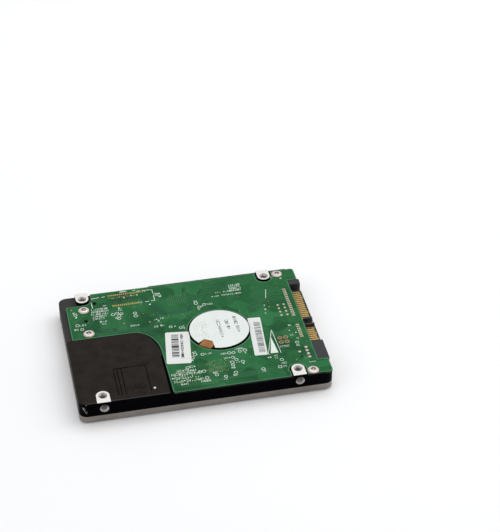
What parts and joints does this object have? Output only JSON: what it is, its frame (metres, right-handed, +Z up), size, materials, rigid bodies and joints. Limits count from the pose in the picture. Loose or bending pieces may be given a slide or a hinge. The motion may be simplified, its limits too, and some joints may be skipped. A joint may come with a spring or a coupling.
{
  "type": "hard disk drive",
  "caption": "Low rectangular hard disk drive in a black metal casting, circuit board side up, with a stepped voice coil housing, round motor label and serial plug at one end.",
  "frame": {"origin": "centre of the outer box at the cover's outer face, which the drive lies on", "axes": "+X along the length to the connector end, +Y across to the back long side, +Z up through the circuit board side"},
  "size_m": [0.1002, 0.0698, 0.0095],
  "materials": {
    "black_casting": "satin black coating over die-cast metal, bare on machined pads",
    "cover_steel": "satin",
    "gasket": "matte",
    "screw_steel": "satin",
    "label_paper": "satin",
    "filter_fibre": "matte",
    "board": "semi-gloss solder mask",
    "foam": "matte",
    "chip_black": "matte",
    "passive_tan": "satin",
    "gold": "polished",
    "connector_black": "matte",
    "flex_film": "gloss",
    "bearing_bronze": "satin",
    "core_steel": "satin",
    "copper_wire": "gloss enamel",
    "bright_aluminium": "machined",
    "yoke_steel": "satin nickel",
    "magnet": "satin",
    "platter_mirror": "polished",
    "ramp_plastic": "satin",
    "stop_rubber": "matte",
    "spring_steel": "satin",
    "slider_ceramic": "polished"
  },
  "bodies": {
    "base": {"base_casting": "black_casting", "cover": "cover_steel", "cover_gasket": "gasket", "cover_screws": "screw_steel", "cover_label": "label_paper", "breather_filter": "filter_fibre", "pcb": "board", "pcb_screws": "screw_steel", "pcb_insulator": "foam", "controller_chip": "chip_black", "memory_chip": "chip_black", "motor_driver_chip": "chip_black", "pcb_passives": "passive_tan", "connector_pads": "gold", "sata_housing": "connector_black", "power_contacts": "gold", "signal_contacts": "gold", "jumper_pins": "gold", "barcode_label": "label_paper", "motor_sticker": "label_paper", "motor_flex": "flex_film", "motor_sleeve": "bearing_bronze", "motor_end_cap": "screw_steel", "stator_core": "core_steel", "stator_coils": "copper_wire", "pivot_shaft": "bright_aluminium", "vcm_top_yoke": "yoke_steel", "vcm_bottom_yoke": "yoke_steel", "vcm_top_magnet": "magnet", "vcm_bottom_magnet": "magnet", "vcm_spacers": "screw_steel", "crash_stops": "stop_rubber", "load_ramp": "ramp_plastic", "ramp_screw": "screw_steel", "head_connector": "connector_black", "head_connector_pins": "gold", "flex_bracket": "bright_aluminium", "latch_post": "screw_steel", "recirculation_filter": "filter_fibre", "desiccant_pack": "filter_fibre"},
    "rotor": {"spindle_hub": "bright_aluminium", "spindle_shaft": "screw_steel", "rotor_magnet": "magnet", "platter_lower": "platter_mirror", "platter_upper": "platter_mirror", "platter_spacer": "bright_aluminium", "disk_clamp": "bright_aluminium", "clamp_screws": "screw_steel"},
    "actuator": {"arm_block": "bright_aluminium", "pivot_sleeve": "core_steel", "pivot_bearings": "screw_steel", "coil_frame": "connector_black", "voice_coil": "copper_wire", "suspensions": "spring_steel", "sliders": "slider_ceramic", "preamp_chip": "chip_black", "head_flex": "flex_film"},
    "latch": {"latch_lever": "connector_black"}
  },
  "joints": [
    {"name": "spindle_spin", "type": "hinge", "parent": "base", "child": "rotor", "pos_m": [0.011, 0, 0.005], "axis": [0, 0, 1], "continuous": true},
    {"name": "actuator_swing", "type": "hinge", "parent": "base", "child": "actuator", "pos_m": [-0.028, -0.003, 0.0045], "axis": [0, 0, -1], "range_deg": [0, 41], "deforming": ["head_flex"]},
    {"name": "latch_swing", "type": "hinge", "parent": "base", "child": "latch", "pos_m": [-0.021, -0.024, 0.005], "axis": [0, 0, -1], "range_deg": [0, 5], "stiffness_Nm_per_rad": 0.00002}
  ]
}
